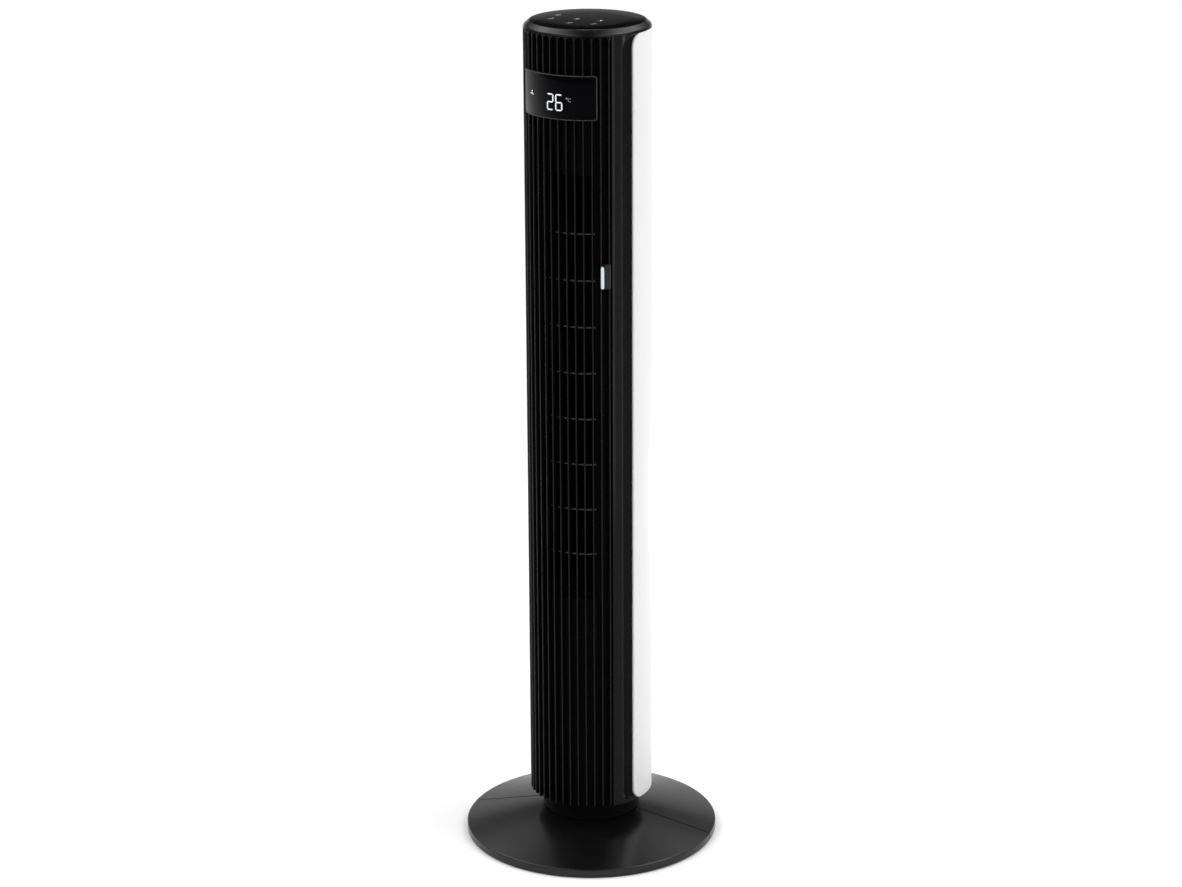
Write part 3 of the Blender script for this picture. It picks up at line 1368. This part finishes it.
class TOWERFAN_OT_stage(bpy.types.Operator):
    """Makes the floor, the soft studio light and the camera"""

    bl_idname = "tower_fan.stage"
    bl_label = "Stage"

    def execute(self, context):
        settings = context.scene.tower_fan_stage
        self.floor(settings)
        self.surroundings(context, settings.sky)
        middle = (COLUMN_LOW + COLUMN_TOP) / 2
        key, edge = settings.key, settings.edge
        # Name; azimuth, distance and height of its place; height aimed at; width and height of the box;
        # brightness; whether it lights surfaces or only shows in their gloss.
        for name, azimuth, away, z, aim, width, height, brightness, diffuse in (
            ("key_softbox", 108, 2.4, middle + 2.6, middle, 1.3, 1.3, key, True),
            ("rear_low_softbox", BEHIND, 0.6, 0.14, 0.14, 1.6, 0.24, settings.rear, False),
            ("rear_high_softbox", BEHIND, 0.45, 0.965, 0.965, 0.8, 0.07, 0.5, False),
            ("strip_softbox", 75, 1.2, 0.45, 0.45, 0.06, 0.9, edge * 1.4, False),
            ("edge_softbox", 97, 1.2, 0.45, 0.45, 0.06, 0.9, edge * 2.6, False),
            ("left_softbox", -75, 2.4, middle + 2.2, middle, 1.3, 1.3, key * 0.45, True),
            ("hair_softbox", BEHIND, 1.5, middle + 2.6, middle, 0.5, 0.5, key * 2.5, True),
        ):
            lamp = self.softbox(name, polar(azimuth, away, z), aim, width, height, brightness)
            lamp.visible_diffuse = diffuse
        self.camera(context)
        context.scene.view_settings.view_transform = "Standard"
        return {"FINISHED"}

    def floor(self, settings):
        ground = bmesh.new()
        bmesh.ops.create_circle(ground, cap_ends=True, segments=96, radius=40)
        mesh = bpy.data.meshes.new("floor")
        ground.to_mesh(mesh)
        ground.free()
        nodes = Nodes("pale_floor")
        tone = tuple(settings.floor)
        patches = nodes.noise(1.2, 3.0)
        nodes.link(nodes.shades(patches, (tint(tone, 0.995), tone)), nodes.shader.inputs["Base Color"])
        nodes.link(nodes.spread(patches, 0.75, 0.85), nodes.shader.inputs["Roughness"])
        nodes.set(Specular_IOR_Level=0.1)
        mesh.materials.append(nodes.material)
        plane = bpy.data.objects.new("floor", mesh)
        bpy.context.scene.collection.objects.link(plane)

    def surroundings(self, context, strength):
        """A soft sky, dim near the horizon and straight overhead, and brighter to the camera's two sides."""
        world = bpy.data.worlds.new("studio")
        context.scene.world = world
        world.use_nodes = True
        tree = world.node_tree
        back = tree.nodes["Background"]
        back.inputs["Strength"].default_value = strength

        def add(kind, **inputs):
            node = tree.nodes.new(kind)
            for name, value in inputs.items():
                node.inputs[name.replace("_", " ")].default_value = value
            return node

        place = add("ShaderNodeTexCoord")
        parts = add("ShaderNodeSeparateXYZ")
        tree.links.new(place.outputs["Generated"], parts.inputs["Vector"])
        ramp = add("ShaderNodeValToRGB")
        tree.links.new(parts.outputs["Z"], ramp.inputs["Fac"])
        stops = ((0.3, 0.05), (0.5, 0.25), (0.68, 1.0), (0.88, 1.0), (1.0, 0.4))
        while len(ramp.color_ramp.elements) < len(stops):
            ramp.color_ramp.elements.new(0.5)
        for element, (stop, tone) in zip(ramp.color_ramp.elements, stops):
            element.position = stop
            element.color = (tone, tone, tone, 1)
        across = add("ShaderNodeVectorMath")
        across.operation = "DOT_PRODUCT"
        turn = math.radians(CAMERA_AZIMUTH)
        across.inputs[1].default_value = (math.cos(turn), math.sin(turn), 0)
        tree.links.new(place.outputs["Generated"], across.inputs[0])
        aside = add("ShaderNodeMath")
        aside.operation = "ABSOLUTE"
        tree.links.new(across.outputs["Value"], aside.inputs[0])
        banks = add("ShaderNodeMapRange", From_Min=0.12, From_Max=0.48, To_Min=0.08, To_Max=1.0)
        tree.links.new(aside.outputs["Value"], banks.inputs["Value"])
        light = add("ShaderNodeMath")
        light.operation = "MULTIPLY"
        tree.links.new(ramp.outputs["Color"], light.inputs[0])
        tree.links.new(banks.outputs["Result"], light.inputs[1])
        tree.links.new(light.outputs["Value"], back.inputs["Color"])

    def softbox(self, name, place, aim, width, height, brightness):
        """A rectangular light at a place, turned to a height on the column's axis."""
        lamp = bpy.data.lights.new(name, "AREA")
        lamp.shape = "RECTANGLE"
        lamp.size, lamp.size_y = width, height
        lamp.energy = brightness * math.pi * width * height
        holder = bpy.data.objects.new(name, lamp)
        holder.location = place
        holder.rotation_euler = (Vector((0, 0, aim)) - Vector(place)).to_track_quat("-Z", "Y").to_euler()
        holder.visible_camera = False
        bpy.context.scene.collection.objects.link(holder)
        return holder

    def camera(self, context):
        azimuth, elevation = math.radians(CAMERA_AZIMUTH), math.radians(CAMERA_ELEVATION)
        target = Vector((0.0013, 0.0008, 0.4535))
        away = Vector((
            math.sin(azimuth) * math.cos(elevation),
            -math.cos(azimuth) * math.cos(elevation),
            math.sin(elevation),
        ))
        lens = bpy.data.cameras.new("camera")
        lens.lens = 98.13
        lens.sensor_width = 36.0
        holder = bpy.data.objects.new("camera", lens)
        holder.location = target + away * CAMERA_DISTANCE
        facing = (-away).to_track_quat("-Z", "Y").to_matrix()
        roll = Matrix.Rotation(math.radians(-0.279), 3, "Z")
        holder.rotation_euler = (facing @ roll).to_euler()
        context.scene.collection.objects.link(holder)
        context.scene.camera = holder


class TOWERFAN_PT_panel(bpy.types.Panel):
    """Lists the pieces of the fan and their sizes"""

    bl_idname = "TOWERFAN_PT_panel"
    bl_label = "Tower fan"
    bl_space_type = "VIEW_3D"
    bl_region_type = "UI"
    bl_category = "Tower fan"

    def draw(self, context):
        for group in SETTINGS:
            box = self.layout.box()
            box.label(text=group.replace("tower_fan_", "").capitalize())
            settings = getattr(context.scene, group)
            for name in settings.bl_rna.properties.keys():
                if name not in ("rna_type", "name"):
                    box.prop(settings, name)
        for operator in OPERATORS:
            self.layout.operator(operator.bl_idname)


SETTINGS = {
    "tower_fan_base": BaseSettings,
    "tower_fan_grille": GrilleSettings,
    "tower_fan_shell": ShellSettings,
    "tower_fan_display": DisplaySettings,
    "tower_fan_finish": FinishSettings,
    "tower_fan_stage": StageSettings,
}
OPERATORS = (
    TOWERFAN_OT_stage,
    TOWERFAN_OT_base,
    TOWERFAN_OT_neck,
    TOWERFAN_OT_column_frame,
    TOWERFAN_OT_grille,
    TOWERFAN_OT_rear_shell,
    TOWERFAN_OT_rear_grille,
    TOWERFAN_OT_fasteners,
    TOWERFAN_OT_top_panel,
    TOWERFAN_OT_display,
    TOWERFAN_OT_side_light,
    TOWERFAN_OT_impeller,
    TOWERFAN_OT_inner_parts,
)
CLASSES = (*SETTINGS.values(), *OPERATORS, TOWERFAN_PT_panel)


def register():
    for cls in CLASSES:
        bpy.utils.register_class(cls)
    for name, group in SETTINGS.items():
        setattr(bpy.types.Scene, name, PointerProperty(type=group))


def unregister():
    for name in SETTINGS:
        delattr(bpy.types.Scene, name)
    for cls in reversed(CLASSES):
        bpy.utils.unregister_class(cls)


def main():
    register()
    bpy.ops.tower_fan.stage()
    bpy.ops.tower_fan.base()
    bpy.ops.tower_fan.neck()
    bpy.ops.tower_fan.column_frame()
    bpy.ops.tower_fan.grille()
    bpy.ops.tower_fan.rear_shell()
    bpy.ops.tower_fan.rear_grille()
    bpy.ops.tower_fan.fasteners()
    bpy.ops.tower_fan.top_panel()
    bpy.ops.tower_fan.display()
    bpy.ops.tower_fan.side_light()
    bpy.ops.tower_fan.impeller()
    bpy.ops.tower_fan.inner_parts()


if __name__ == "__main__":
    main()
